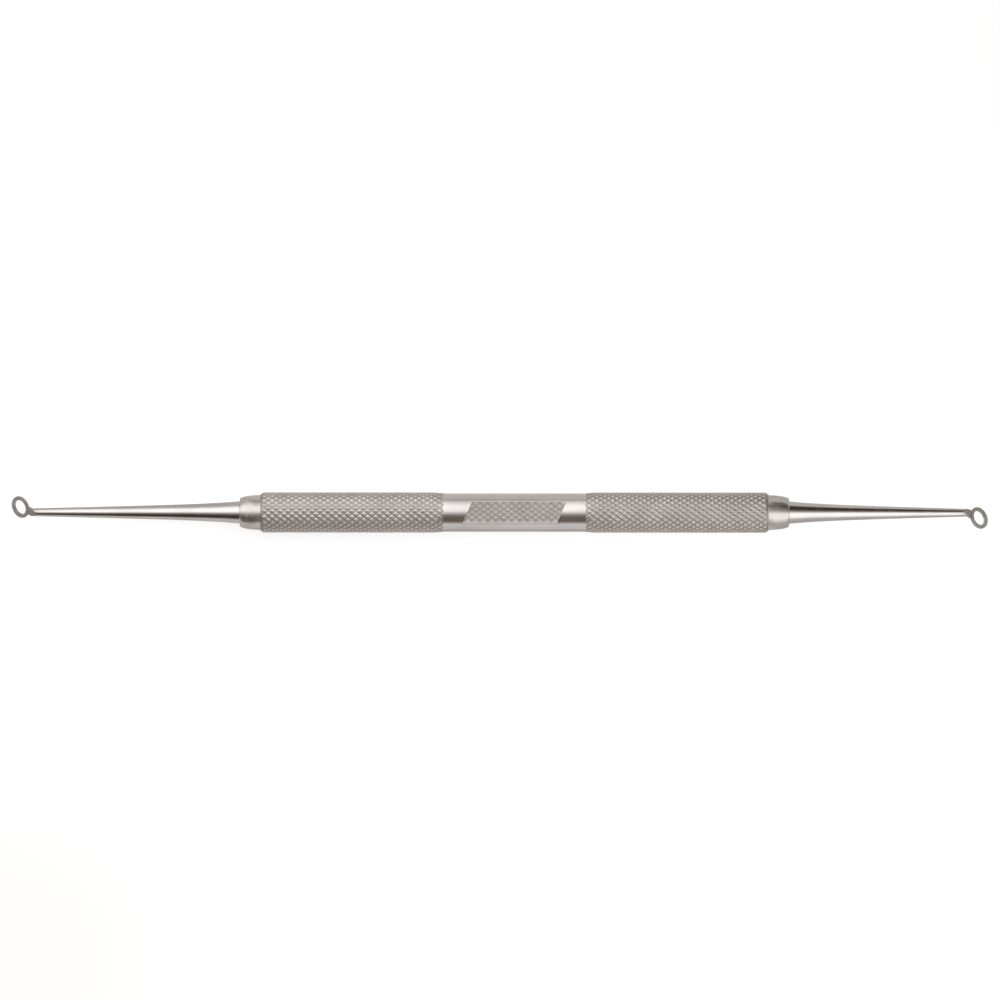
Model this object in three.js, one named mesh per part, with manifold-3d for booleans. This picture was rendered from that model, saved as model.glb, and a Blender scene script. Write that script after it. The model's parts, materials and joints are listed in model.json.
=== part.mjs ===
// A double-ended nail curette. A hollow handle with two knurled grips and a plain waist holds a
// ferrule in each end. Each ferrule holds the tang of a tapered shank, and each shank ends in a flat
// cutting ring that is bent down out of line and brazed on. Turned half round about the Z axis, one
// working end lies like the other. Millimetres, +Z up. The handle's axis is the X axis, the origin is
// at the middle of the whole length, and the flat of the waist faces up.

import * as THREE from "three";
import { mergeVertices } from "three/addons/utils/BufferGeometryUtils.js";
import Module from "manifold-3d";

const wasm = await Module();
wasm.setup();

// The whole tool
const OVERALL_LENGTH = 150;
const HANDLE_LENGTH = 77.9;
const HANDLE_CENTRE_X = 2.25; // off the middle, because the right working end is the shorter one
const FIT_GAP = 0.03; // clearance between pieces that are pressed or brazed together

// Knurled grips: diamonds stand in rows, each row half a diamond round from the one before
const KNURL_STARTS = 20; // diamonds round the grip
const KNURL_ROWS = 46; // rows along one grip, two to a diamond's length
const KNURL_PITCH = 1.22; // length of one diamond
const CREST_RADIUS = 3.125;
const GROOVE_RADIUS = 2.9;
const GRIP_END_RADIUS = 2.8; // the grip's chamfered outer end

// Waist and bore of the handle
const WAIST_RADIUS = 2.95;
const BORE_RADIUS = 2.03;
const FLAT_LENGTH = 14.5;
const FLAT_WIDTH = 3.2;
const FLAT_SLANT = 0.45; // how far along X the flat's ends run for each millimetre across

// Ferrules
const FERRULE_LENGTH = 3.2; // what shows outside the handle
const FERRULE_BASE_RADIUS = 2.7;
const FERRULE_CROWN = new THREE.Vector2(2.6, 2.62); // pulls the ferrule's outline into its dome
const FERRULE_FACE_RADIUS = 2.15;
const SPIGOT_LENGTH = 8;
const SPIGOT_CHAMFER = 0.25;

// Shanks: a long cone, with a flare that dies away from the ferrule
const TANG_RADIUS = 1.1;
const TANG_LENGTH = 10.5;
const TANG_CHAMFER = 0.2;
const CONE_ROOT_RADIUS = 1.38;
const CONE_TIP_RADIUS = 0.62;
const FLARE_HEIGHT = 0.35; // added to the cone's radius at the ferrule
const FLARE_DECAY = 4.9; // length over which the flare shrinks to about a third
const SHANK_STEPS = 12;

// Cutting rings
const RING_RADIUS = 1.72;
const RING_HOLE_RADIUS = 1.15;
const RING_THICKNESS = 0.4;
const RING_ROUNDING = 0.05; // at the ring's lower outer edge
const RING_BEVEL_FOOT = 0.1; // where the bevel starts on the outer wall, over the ring's mid plane
const RING_EDGE_LAND = 0.06; // flat left round the hole where the bevel ends in the cutting edge
const RING_REACH = 2.34; // from the bend to the ring's centre
const RING_ASIDE = 0.25; // the ring's centre, off the neck's middle line
const RING_BEND = THREE.MathUtils.degToRad(39.5); // out of line with the shank
const RING_ROLL = THREE.MathUtils.degToRad(23); // the bend's plane, turned out of the upright

// Neck and peg of a ring, and the braze that fills the joint
const NECK_RUN = 0.62; // round stretch from the joint to the bend
const NECK_HALF_WIDTH = 0.6; // of the flat stretch, and the round one's radius
const NECK_THICKNESS = 0.32;
const NECK_START_REACH = 0.1; // the flat stretch starts inside the round one
const NECK_MARGIN = 0.1; // wall between the neck's end and the ring's hole
const PEG_RADIUS = 0.32;
const PEG_LENGTH = 1.6;
const BRAZE_LENGTH = 0.18;
const BRAZE_BULGE = 0.04;

// Facets round each kind of piece
const HANDLE_SIDES = 2 * KNURL_STARTS;
const SHANK_SIDES = 24;
const RING_SIDES = 40;
const NECK_SIDES = 24;
const DOME_STEPS = 6;
const BULGE_STEPS = 4;

const HANDLE_LEFT_X = HANDLE_CENTRE_X - HANDLE_LENGTH / 2;
const HANDLE_RIGHT_X = HANDLE_CENTRE_X + HANDLE_LENGTH / 2;
const GRIP_LENGTH = (KNURL_ROWS * KNURL_PITCH) / 2;

const FINISHES = {
  knurledSteel: { color: 0xa8a39d, roughness: 0.42, metalness: 1 },
  polishedSteel: { color: 0xc4c1bd, roughness: 0.16, metalness: 1 },
  groundSteel: { color: 0x9a958f, roughness: 0.34, metalness: 1 },
  braze: { color: 0xa3987c, roughness: 0.38, metalness: 1 },
};

function piece(name, geometry, finish) {
  const mesh = new THREE.Mesh(geometry, new THREE.MeshStandardMaterial(FINISHES[finish]));
  mesh.name = name;
  return mesh;
}

// Turns a profile of [x, radius] pairs about the X axis.
function turned(profile, sides) {
  const points = profile.map(([x, radius]) => new THREE.Vector2(radius, x));
  return new THREE.LatheGeometry(points, sides).rotateZ(-Math.PI / 2);
}

// Gives a closed mesh to the solid modeller.
function solidOf(geometry) {
  const bare = geometry.clone();
  bare.deleteAttribute("normal");
  bare.deleteAttribute("uv");
  const merged = mergeVertices(bare, 1e-5);
  const corners = merged.index.array;
  const kept = [];
  for (let i = 0; i < corners.length; i += 3) {
    const [a, b, c] = corners.slice(i, i + 3);
    if (a !== b && b !== c && c !== a) kept.push(a, b, c);
  }
  const vertProperties = new Float32Array(merged.attributes.position.array);
  const triVerts = new Uint32Array(kept);
  return new wasm.Manifold(new wasm.Mesh({ numProp: 3, vertProperties, triVerts }));
}

function geometryOf(solid) {
  const mesh = solid.getMesh();
  const geometry = new THREE.BufferGeometry();
  geometry.setAttribute("position", new THREE.BufferAttribute(mesh.vertProperties, 3));
  geometry.setIndex(new THREE.BufferAttribute(mesh.triVerts, 1));
  return geometry;
}

function plainRing(x, radius) {
  return { x, radii: Array(HANDLE_SIDES).fill(radius) };
}

// The rings of points along one grip. Crests and grooves take turns round each ring and along the
// grip, so every second point is the top of a diamond.
function gripRings(startX, startRadius, endRadius) {
  const rings = [plainRing(startX, startRadius)];
  for (let row = 1; row < KNURL_ROWS; row++) {
    const ring = plainRing(startX + (row * KNURL_PITCH) / 2, GROOVE_RADIUS);
    ring.radii = ring.radii.map((groove, side) => ((row + side) % 2 ? CREST_RADIUS : groove));
    rings.push(ring);
  }
  rings.push(plainRing(startX + GRIP_LENGTH, endRadius));
  return rings;
}

// Joins rings into one closed skin, from the last ring back to the first. Each four-cornered cell is
// split along its lower diagonal, which is where a groove of the knurl runs.
function skinOf(rings) {
  const positions = [];
  for (const { x, radii } of rings) {
    radii.forEach((radius, side) => {
      const angle = ((side + 0.5) * 2 * Math.PI) / HANDLE_SIDES;
      positions.push(x, radius * Math.sin(angle), radius * Math.cos(angle));
    });
  }
  const corners = [];
  rings.forEach((ring, i) => {
    const next = (i + 1) % rings.length;
    for (let side = 0; side < HANDLE_SIDES; side++) {
      const after = (side + 1) % HANDLE_SIDES;
      const [a, b] = [i * HANDLE_SIDES + side, i * HANDLE_SIDES + after];
      const [c, d] = [next * HANDLE_SIDES + side, next * HANDLE_SIDES + after];
      const alongFirst = ring.radii[side] + rings[next].radii[after];
      const alongSecond = ring.radii[after] + rings[next].radii[side];
      if (alongFirst < alongSecond) corners.push(a, c, d, a, d, b);
      else corners.push(a, c, b, c, d, b);
    }
  });
  const geometry = new THREE.BufferGeometry();
  geometry.setAttribute("position", new THREE.Float32BufferAttribute(positions, 3));
  geometry.setIndex(corners);
  return geometry;
}

// A block over the waist that mills its flat, with both ends slanting the same way.
function flatCutter() {
  const across = FLAT_WIDTH;
  const outline = new THREE.Shape();
  outline.moveTo(-FLAT_LENGTH / 2 - FLAT_SLANT * across, -across);
  outline.lineTo(FLAT_LENGTH / 2 - FLAT_SLANT * across, -across);
  outline.lineTo(FLAT_LENGTH / 2 + FLAT_SLANT * across, across);
  outline.lineTo(-FLAT_LENGTH / 2 + FLAT_SLANT * across, across);
  const flatHeight = Math.sqrt(WAIST_RADIUS ** 2 - (FLAT_WIDTH / 2) ** 2);
  const block = new THREE.ExtrudeGeometry(outline, { depth: WAIST_RADIUS, bevelEnabled: false });
  return block.translate(HANDLE_CENTRE_X, 0, flatHeight);
}

function handleBarrel() {
  const skin = skinOf([
    ...gripRings(HANDLE_LEFT_X, GRIP_END_RADIUS, WAIST_RADIUS),
    ...gripRings(HANDLE_RIGHT_X - GRIP_LENGTH, WAIST_RADIUS, GRIP_END_RADIUS),
    plainRing(HANDLE_RIGHT_X, BORE_RADIUS),
    plainRing(HANDLE_LEFT_X, BORE_RADIUS),
  ]);
  const barrel = solidOf(skin).subtract(solidOf(flatCutter()));
  return piece("handle_barrel", geometryOf(barrel), "knurledSteel");
}

// The pieces of a working end point along +X, with the handle's end at x = 0.

// A domed collar with a spigot that fills the handle's bore and is bored for the shank's tang.
function ferrule(name) {
  const spigotRadius = BORE_RADIUS - FIT_GAP;
  const tangBoreRadius = TANG_RADIUS + FIT_GAP;
  const dome = new THREE.QuadraticBezierCurve(
    new THREE.Vector2(FIT_GAP, FERRULE_BASE_RADIUS),
    new THREE.Vector2(FERRULE_CROWN.x, FERRULE_CROWN.y),
    new THREE.Vector2(FERRULE_LENGTH, FERRULE_FACE_RADIUS),
  );
  const profile = [
    [-SPIGOT_LENGTH, tangBoreRadius],
    [-SPIGOT_LENGTH, spigotRadius - SPIGOT_CHAMFER],
    [-SPIGOT_LENGTH + SPIGOT_CHAMFER, spigotRadius],
    [FIT_GAP, spigotRadius],
    ...dome.getPoints(DOME_STEPS).map((point) => [point.x, point.y]),
    [FERRULE_LENGTH, tangBoreRadius],
    [-SPIGOT_LENGTH, tangBoreRadius],
  ];
  return piece(`${name}_ferrule`, turned(profile, HANDLE_SIDES), "polishedSteel");
}

// A tapered rod whose shoulder seats on the ferrule. Its tang goes into the ferrule, and its tip is
// drilled for the ring's peg.
function shank(name, tipX) {
  const shoulderX = FERRULE_LENGTH + FIT_GAP;
  const length = tipX - shoulderX;
  const tangEndX = shoulderX - TANG_LENGTH;
  const pegHoleRadius = PEG_RADIUS + FIT_GAP;
  const pegHoleEndX = tipX - PEG_LENGTH;
  const taper = [];
  for (let step = 0; step <= SHANK_STEPS; step++) {
    const along = length * (step / SHANK_STEPS) ** 1.5; // steps lie closer where the flare curves
    const cone = THREE.MathUtils.lerp(CONE_ROOT_RADIUS, CONE_TIP_RADIUS, along / length);
    taper.push([shoulderX + along, cone + FLARE_HEIGHT * Math.exp(-along / FLARE_DECAY)]);
  }
  const profile = [
    [tangEndX, 0],
    [tangEndX, TANG_RADIUS - TANG_CHAMFER],
    [tangEndX + TANG_CHAMFER, TANG_RADIUS],
    [shoulderX, TANG_RADIUS],
    ...taper,
    [tipX, pegHoleRadius],
    [pegHoleEndX, pegHoleRadius],
    [pegHoleEndX, 0],
  ];
  return piece(`${name}_shank`, turned(profile, SHANK_SIDES), "polishedSteel");
}

// The head's pieces have the bend at the origin: the shank comes in along +X and the ring leans to +Z.

// A collar of braze between the shank's tip and the neck of the ring.
function brazeCollar(name) {
  const endX = -NECK_RUN - FIT_GAP;
  const startX = endX - BRAZE_LENGTH;
  const holeRadius = PEG_RADIUS + FIT_GAP;
  const bulge = new THREE.QuadraticBezierCurve(
    new THREE.Vector2(startX, CONE_TIP_RADIUS),
    new THREE.Vector2((startX + endX) / 2, CONE_TIP_RADIUS + 2 * BRAZE_BULGE),
    new THREE.Vector2(endX, NECK_HALF_WIDTH),
  );
  const profile = [
    [startX, holeRadius],
    ...bulge.getPoints(BULGE_STEPS).map((point) => [point.x, point.y]),
    [endX, holeRadius],
    [startX, holeRadius],
  ];
  return piece(`${name}_braze_collar`, turned(profile, SHANK_SIDES), "braze");
}

// Lays a piece that was turned about the Y axis into the ring's plane, so far out from the bend.
function inRingPlane(geometry, reach, aside) {
  return geometry.rotateX(Math.PI / 2).translate(reach, aside, 0).rotateY(-RING_BEND);
}

// The ring lies flat under its cutting edge. Its upper face is bevelled down to the outer wall.
function ringBlade() {
  const half = RING_THICKNESS / 2;
  const section = [
    [RING_HOLE_RADIUS, -half],
    [RING_RADIUS - RING_ROUNDING, -half],
    [RING_RADIUS, -half + RING_ROUNDING],
    [RING_RADIUS, RING_BEVEL_FOOT],
    [RING_HOLE_RADIUS + RING_EDGE_LAND, half],
    [RING_HOLE_RADIUS, half],
    [RING_HOLE_RADIUS, -half],
  ];
  const points = section.map(([radius, height]) => new THREE.Vector2(radius, height));
  return inRingPlane(new THREE.LatheGeometry(points, RING_SIDES), RING_REACH, RING_ASIDE);
}

function neckDisc(reach, aside) {
  const disc = new THREE.CylinderGeometry(NECK_HALF_WIDTH, NECK_HALF_WIDTH, NECK_THICKNESS, NECK_SIDES);
  return solidOf(inRingPlane(disc, reach, aside));
}

// The flat stretch of the neck, in the ring's plane, from inside the rod's end to the ring's wall.
function flatNeck() {
  const endReach = RING_REACH - RING_HOLE_RADIUS - NECK_MARGIN - NECK_HALF_WIDTH;
  return wasm.Manifold.hull([neckDisc(NECK_START_REACH, 0), neckDisc(endReach, RING_ASIDE)]);
}

// The round stretch of the neck. It stands on the flat one and is cut off flush with its underside.
function roundNeck() {
  const longEnough = 2 * NECK_HALF_WIDTH / Math.sin(RING_BEND);
  const rod = turned([[-NECK_RUN, 0], [-NECK_RUN, NECK_HALF_WIDTH], [longEnough, NECK_HALF_WIDTH],
    [longEnough, 0]], NECK_SIDES);
  const upFromRing = [-Math.sin(RING_BEND), 0, Math.cos(RING_BEND)];
  return solidOf(rod).trimByPlane(upFromRing, -NECK_THICKNESS / 2);
}

function ringPeg() {
  const startX = -NECK_RUN - PEG_LENGTH + FIT_GAP;
  const overlap = PEG_RADIUS / 2; // into the neck, so that the two are one piece
  return turned([[startX, 0], [startX, PEG_RADIUS], [-NECK_RUN + overlap, PEG_RADIUS],
    [-NECK_RUN + overlap, 0]], NECK_SIDES);
}

function ringCutter(name) {
  const cutter = solidOf(ringBlade()).add(flatNeck()).add(roundNeck()).add(solidOf(ringPeg()));
  return piece(`${name}_ring_cutter`, geometryOf(cutter), "groundSteel");
}

// One end of the tool. The ring's far edge sets where the bend lies, so that both ends together give
// the overall length.
function workingEnd({ name, handleEndX, turn }) {
  const cutter = ringCutter(name);
  cutter.geometry.computeBoundingBox();
  const bendX = OVERALL_LENGTH / 2 - Math.abs(handleEndX) - cutter.geometry.boundingBox.max.x;
  const head = new THREE.Group();
  head.add(cutter, brazeCollar(name));
  head.position.x = bendX;
  head.rotation.x = Math.PI - RING_ROLL;
  const end = new THREE.Group();
  end.add(ferrule(name), shank(name, bendX - NECK_RUN - BRAZE_LENGTH - 2 * FIT_GAP), head);
  end.position.x = handleEndX;
  end.rotation.z = turn;
  return end;
}

const curette = new THREE.Group();
curette.add(
  handleBarrel(),
  workingEnd({ name: "left", handleEndX: HANDLE_LEFT_X, turn: Math.PI }),
  workingEnd({ name: "right", handleEndX: HANDLE_RIGHT_X, turn: 0 }),
);

export default curette;
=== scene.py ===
# %% [markdown]
# # A double-ended nail curette
# The tool is a slim steel rod, 150 mm long. A knurled handle with a plain waist holds a ferrule in
# each end, each ferrule holds a tapered shank, and each shank carries a small bent cutting ring.
# The plain solids are already there as a fixed frame. In this lesson every piece gets a fine mesh
# in the same place, a steel finish made of nodes, and a white table under soft light.

# %% Load the frame
import json
import math

import bmesh
import bpy
import numpy as np
from mathutils import Matrix, Vector, noise


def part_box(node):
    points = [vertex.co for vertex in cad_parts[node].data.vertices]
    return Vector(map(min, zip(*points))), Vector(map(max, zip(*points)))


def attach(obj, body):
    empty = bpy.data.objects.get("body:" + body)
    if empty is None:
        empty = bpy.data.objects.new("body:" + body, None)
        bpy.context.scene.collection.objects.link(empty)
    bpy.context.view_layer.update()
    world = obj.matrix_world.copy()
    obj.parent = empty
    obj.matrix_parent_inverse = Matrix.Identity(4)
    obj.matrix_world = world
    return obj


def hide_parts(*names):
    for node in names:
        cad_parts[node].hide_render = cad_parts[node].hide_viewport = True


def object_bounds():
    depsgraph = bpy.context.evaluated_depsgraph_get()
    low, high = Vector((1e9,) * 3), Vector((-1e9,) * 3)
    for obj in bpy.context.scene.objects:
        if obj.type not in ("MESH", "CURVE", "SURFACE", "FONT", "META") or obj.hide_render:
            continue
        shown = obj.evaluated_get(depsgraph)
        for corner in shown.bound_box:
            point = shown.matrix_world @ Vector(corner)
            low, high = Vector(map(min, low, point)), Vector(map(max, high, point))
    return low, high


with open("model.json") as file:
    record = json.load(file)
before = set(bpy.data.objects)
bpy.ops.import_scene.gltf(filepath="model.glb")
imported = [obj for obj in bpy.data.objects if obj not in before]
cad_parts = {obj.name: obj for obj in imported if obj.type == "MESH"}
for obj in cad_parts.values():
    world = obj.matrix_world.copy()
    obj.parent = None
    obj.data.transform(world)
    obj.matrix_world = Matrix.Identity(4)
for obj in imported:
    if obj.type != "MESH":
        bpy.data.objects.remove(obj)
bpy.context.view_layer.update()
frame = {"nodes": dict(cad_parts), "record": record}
print("solids:", sorted(frame["nodes"]))

# %% [markdown]
# ## Sizes
# A part this small is easier to think about in millimetres, and some of Blender's modifiers have a
# smallest step that is too coarse for it in metres. So every mesh is worked out in millimetres and
# shrunk to metres at the end. Places that the frame already fixes are read from its boxes, so the
# fine meshes can't drift away from the solids.

# %% Places taken from the frame
MM = 0.001
FIT_GAP = 0.03
HAIR = 1e-6

handle_low, handle_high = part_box("handle_barrel")
HANDLE_LEFT = handle_low.x / MM
HANDLE_RIGHT = handle_high.x / MM
HANDLE_CENTRE = (HANDLE_LEFT + HANDLE_RIGHT) / 2

SIDES = ("left", "right")
handle_end = {"left": HANDLE_LEFT, "right": HANDLE_RIGHT}
end_turn = {"left": math.pi, "right": 0.0}


def end_matrix(side):
    """Carries a piece drawn along +X from the handle's end to its own side of the tool."""
    return Matrix.Translation((handle_end[side], 0, 0)) @ Matrix.Rotation(end_turn[side], 4, "Z")


print("handle from", round(HANDLE_LEFT, 2), "to", round(HANDLE_RIGHT, 2), "mm")

# %% [markdown]
# ## Small helpers for nodes
# A finish is a graph of nodes. Five helpers keep the graphs short: they feed a socket with either a
# number or another node's output, do a sum, blend two colours, map one range to another, and make a
# cloud of noise. Node groups are the functions of this language. Two more helpers build a group once
# and place it in each finish with other values on its inputs.

# %% Node helpers
def feed(tree, socket, source):
    """Links a socket to a node's output, or sets it if the source is a plain value."""
    if isinstance(source, bpy.types.NodeSocket):
        tree.links.new(source, socket)
    else:
        socket.default_value = source


def maths(tree, operation, *terms):
    node = tree.nodes.new("ShaderNodeMath")
    node.operation = operation
    for socket, term in zip(node.inputs, terms):
        feed(tree, socket, term)
    return node.outputs[0]


def blend_colours(tree, share, first, second):
    node = tree.nodes.new("ShaderNodeMix")
    node.data_type = "RGBA"
    colour_inputs = [s for s in node.inputs if s.type == "RGBA"]
    feed(tree, node.inputs[0], share)
    feed(tree, colour_inputs[0], first)
    feed(tree, colour_inputs[1], second)
    return next(s for s in node.outputs if s.type == "RGBA")


def stretch(tree, value, low, high, to_low=0.0, to_high=1.0):
    """Maps a value from one range to another with a soft start and end."""
    node = tree.nodes.new("ShaderNodeMapRange")
    node.interpolation_type = "SMOOTHSTEP"
    for socket, term in zip(node.inputs, (value, low, high, to_low, to_high)):
        feed(tree, socket, term)
    return node.outputs[0]


def cloud(tree, point, scale, detail=3.0):
    node = tree.nodes.new("ShaderNodeTexNoise")
    feed(tree, node.inputs["Vector"], point)
    feed(tree, node.inputs["Scale"], scale)
    feed(tree, node.inputs["Detail"], detail)
    return node.outputs[0]


def new_group(name, inputs, outputs):
    """An empty shader group. Inputs and outputs map a socket's name to its type."""
    tree = bpy.data.node_groups.new(name, "ShaderNodeTree")
    for way, sockets in (("INPUT", inputs), ("OUTPUT", outputs)):
        for label, kind in sockets.items():
            tree.interface.new_socket(label, in_out=way, socket_type="NodeSocket" + kind)
    entry = tree.nodes.new("NodeGroupInput")
    result = tree.nodes.new("NodeGroupOutput")
    return tree, entry.outputs, result.inputs


def place_group(tree, group, **values):
    """Puts a group into a finish. An underscore in a keyword stands for a space."""
    node = tree.nodes.new("ShaderNodeGroup")
    node.node_tree = group
    for label, source in values.items():
        feed(tree, node.inputs[label.replace("_", " ")], source)
    return node.outputs


print("node helpers ready")

# %% [markdown]
# ## Where on the tool are we?
# Most effects on a turned tool depend on two things: how far along the axis a point lies, and how
# far out from the axis. One group works both out from the object's own coordinates, in
# millimetres, so that every finish can be written in real sizes.

# %% Group: places on the tool
places, _, result = new_group(
    "places_on_tool", {},
    {"Point": "Vector", "Along": "Float", "Across": "Float", "Level": "Float", "Radius": "Float"},
)
own_place = places.nodes.new("ShaderNodeTexCoord").outputs["Object"]
in_mm = places.nodes.new("ShaderNodeVectorMath")
in_mm.operation = "SCALE"
in_mm.inputs["Scale"].default_value = 1 / MM
feed(places, in_mm.inputs[0], own_place)
axes = places.nodes.new("ShaderNodeSeparateXYZ")
feed(places, axes.inputs[0], in_mm.outputs[0])
across_squared = maths(places, "MULTIPLY", axes.outputs["Y"], axes.outputs["Y"])
level_squared = maths(places, "MULTIPLY", axes.outputs["Z"], axes.outputs["Z"])
radius_squared = maths(places, "ADD", across_squared, level_squared)
feed(places, result["Point"], in_mm.outputs[0])
feed(places, result["Along"], axes.outputs["X"])
feed(places, result["Across"], axes.outputs["Y"])
feed(places, result["Level"], axes.outputs["Z"])
feed(places, result["Radius"], maths(places, "SQRT", radius_squared))
print("group:", places.name)

# %% [markdown]
# ## Tone of handled steel
# No steel surface is one even colour. Handling leaves faint patches that are a little warmer and
# duller. A slow cloud of noise blends two tones, and a finer one moves the roughness up and down
# inside a range. All the finishes share this group and only differ in tones and ranges.

# %% Group: handled tone
PATCH_DETAIL = 4.0
PATCH_EDGES = (0.35, 0.65)
SMEARS_PER_PATCH = 3.7
SMEAR_DETAIL = 5.0
SMEAR_EDGES = (0.3, 0.7)

handled, entry, result = new_group(
    "handled_tone",
    {"Point": "Vector", "Duller": "Color", "Cleaner": "Color", "Patches": "Float",
     "Smoothest": "Float", "Roughest": "Float"},
    {"Color": "Color", "Roughness": "Float"},
)
slow_cloud = cloud(handled, entry["Point"], entry["Patches"], PATCH_DETAIL)
patches = stretch(handled, slow_cloud, *PATCH_EDGES)
feed(handled, result["Color"], blend_colours(handled, patches, entry["Duller"], entry["Cleaner"]))
finer_scale = maths(handled, "MULTIPLY", entry["Patches"], SMEARS_PER_PATCH)
smears = cloud(handled, entry["Point"], finer_scale, SMEAR_DETAIL)
feed(handled, result["Roughness"],
     stretch(handled, smears, *SMEAR_EDGES, entry["Smoothest"], entry["Roughest"]))
print("group:", handled.name)

# %% [markdown]
# ## Turning marks
# Ferrules, shanks and the waist were turned on a lathe and polished while they spun. What is left
# are very fine rings round the axis, so the pattern only changes along the axis. A noise with one
# dimension does just that. A little of a second noise breaks the rings up, as polishing does. The
# deepest rings are given as a mask, because the polish doesn't reach into them.

# %% Group: turning marks
MARKS_DETAIL = 2.0
BREAKS_PER_MM = 2.5
DEEPEST_MARKS = (0.46, 0.42)

turning, entry, result = new_group(
    "turning_marks", {"Along": "Float", "Point": "Vector", "Marks": "Float"},
    {"Height": "Float", "Groove": "Float"},
)
rings = turning.nodes.new("ShaderNodeTexNoise")
rings.noise_dimensions = "1D"
rings.inputs["Scale"].default_value = 1.0
rings.inputs["Detail"].default_value = MARKS_DETAIL
feed(turning, rings.inputs["W"], maths(turning, "MULTIPLY", entry["Along"], entry["Marks"]))
breaks = cloud(turning, entry["Point"], BREAKS_PER_MM)
feed(turning, result["Height"], maths(turning, "MULTIPLY", rings.outputs[0], breaks))
feed(turning, result["Groove"], stretch(turning, rings.outputs[0], *DEEPEST_MARKS))
print("group:", turning.name)

# %% [markdown]
# ## Crests and grooves: wear, painted highlight and painted shade
# Fingers polish the tops of the diamonds, so the crests are a little smoother. Their colour is also
# painted lighter on the crests, a painted highlight, and darker down in the grooves, a painted shade.
# Both follow from a point's height between the groove and the crest, so the group takes a height
# with its two limits and gives back two masks.

# %% Group: crest and groove
# From this share of the height the crests are smoother from wear and get a painted highlight.
CREST_SHEEN_AND_WEAR_FROM = 0.72
# Below this share of the height the grooves get painted shade.
GROOVE_SHADE_TO = 0.5

crests, entry, result = new_group(
    "crest_and_groove",
    {"Height": "Float", "Groove": "Float", "Crest": "Float"},
    {"Crest": "Float", "Groove": "Float"},
)
span = maths(crests, "SUBTRACT", entry["Crest"], entry["Groove"])
climbed = maths(crests, "DIVIDE", maths(crests, "SUBTRACT", entry["Height"], entry["Groove"]), span)
feed(crests, result["Crest"], stretch(crests, climbed, CREST_SHEEN_AND_WEAR_FROM, 1.0))
feed(crests, result["Groove"], stretch(crests, climbed, 0.0, GROOVE_SHADE_TO, 1.0, 0.0))
print("group:", crests.name)

# %% [markdown]
# ## The finishes
# Every finish is a metal, so its base colour is the colour of its reflection, and roughness does
# most of the work: the shanks are nearly mirrors, the ferrules and the waist are satin, and the
# diamonds and the rings are dull. Colours are written as plain linear values.

# %% Finish helper
def new_finish(name):
    """A metal material. Returns it with its node tree, its shader and the places group."""
    finish = bpy.data.materials.new(name)
    finish.use_nodes = True
    tree = finish.node_tree
    shader = tree.nodes["Principled BSDF"]
    shader.inputs["Metallic"].default_value = 1.0
    return finish, tree, shader, place_group(tree, places)


def bump(tree, shader, height, depth_mm, strength=1.0):
    node = tree.nodes.new("ShaderNodeBump")
    node.inputs["Strength"].default_value = strength
    node.inputs["Distance"].default_value = depth_mm * MM
    feed(tree, node.inputs["Height"], height)
    feed(tree, shader.inputs["Normal"], node.outputs["Normal"])


print("finish helper ready")

# %% [markdown]
# ### Diamond steel, for the grips and the hatched flat
# On the grips the height of a point is its distance from the axis. On the flat it is its level
# above the axis. Apart from that the two are the same finish, so one function makes both.

# %% Finishes: diamond steel
CREST_RADIUS = 3.125
GROOVE_RADIUS = 2.9
FLAT_LEVEL = frame["record"]["mounts"][0]["pos_m"][2] / MM
HATCH_DEPTH = 0.045
# The darker groove colour below is painted shade.
GROOVE_SHADE = (0.33, 0.3, 0.275, 1)
GROOVE_SHADE_SHARE = 0.85
# The lighter crest colour below is a painted highlight.
CREST_HIGHLIGHT = (0.7, 0.67, 0.645, 1)
CREST_HIGHLIGHT_SHARE = 0.6
WORN_SMOOTHER_BY = 0.1
KNURL_GRAIN = 9.0
GRAIN_DETAIL = 4.0


def diamond_steel(name, height_from, groove, crest, duller, cleaner):
    finish, tree, shader, at = new_finish(name)
    tone = place_group(tree, handled, Point=at["Point"], Duller=duller, Cleaner=cleaner,
                       Patches=0.35, Smoothest=0.45, Roughest=0.53)
    height_masks = place_group(tree, crests, Height=at[height_from], Groove=groove, Crest=crest)
    # Painted shade: the grooves are blended towards a darker colour.
    groove_shade_here = maths(tree, "MULTIPLY", height_masks["Groove"], GROOVE_SHADE_SHARE)
    groove_shaded = blend_colours(tree, groove_shade_here, tone["Color"], GROOVE_SHADE)
    # Painted highlight: the crests are blended towards a lighter colour.
    crest_highlight_here = maths(tree, "MULTIPLY", height_masks["Crest"], CREST_HIGHLIGHT_SHARE)
    crest_lit = blend_colours(tree, crest_highlight_here, groove_shaded, CREST_HIGHLIGHT)
    feed(tree, shader.inputs["Base Color"], crest_lit)
    smoother = maths(tree, "MULTIPLY", height_masks["Crest"], WORN_SMOOTHER_BY)
    feed(tree, shader.inputs["Roughness"], maths(tree, "SUBTRACT", tone["Roughness"], smoother))
    bump(tree, shader, cloud(tree, at["Point"], KNURL_GRAIN, GRAIN_DETAIL), depth_mm=0.03, strength=0.35)
    return finish


grip_steel = diamond_steel("knurled_steel", "Radius", GROOVE_RADIUS, CREST_RADIUS,
                           (0.55, 0.508, 0.478, 1), (0.61, 0.572, 0.55, 1))
hatch_steel = diamond_steel("hatched_steel", "Level", FLAT_LEVEL - HATCH_DEPTH, FLAT_LEVEL,
                            (0.43, 0.4, 0.38, 1), (0.49, 0.46, 0.44, 1))
print("finishes:", grip_steel.name, hatch_steel.name)

# %% [markdown]
# ### Turned steel, for the waist, the ferrules and the shanks
# The three turned finishes differ in how far they were polished. The ferrules keep most of their
# turning marks, the waist is satin, and the shanks are close to a mirror but for their tips, which
# were filed once more when the rings were brazed on.

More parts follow.
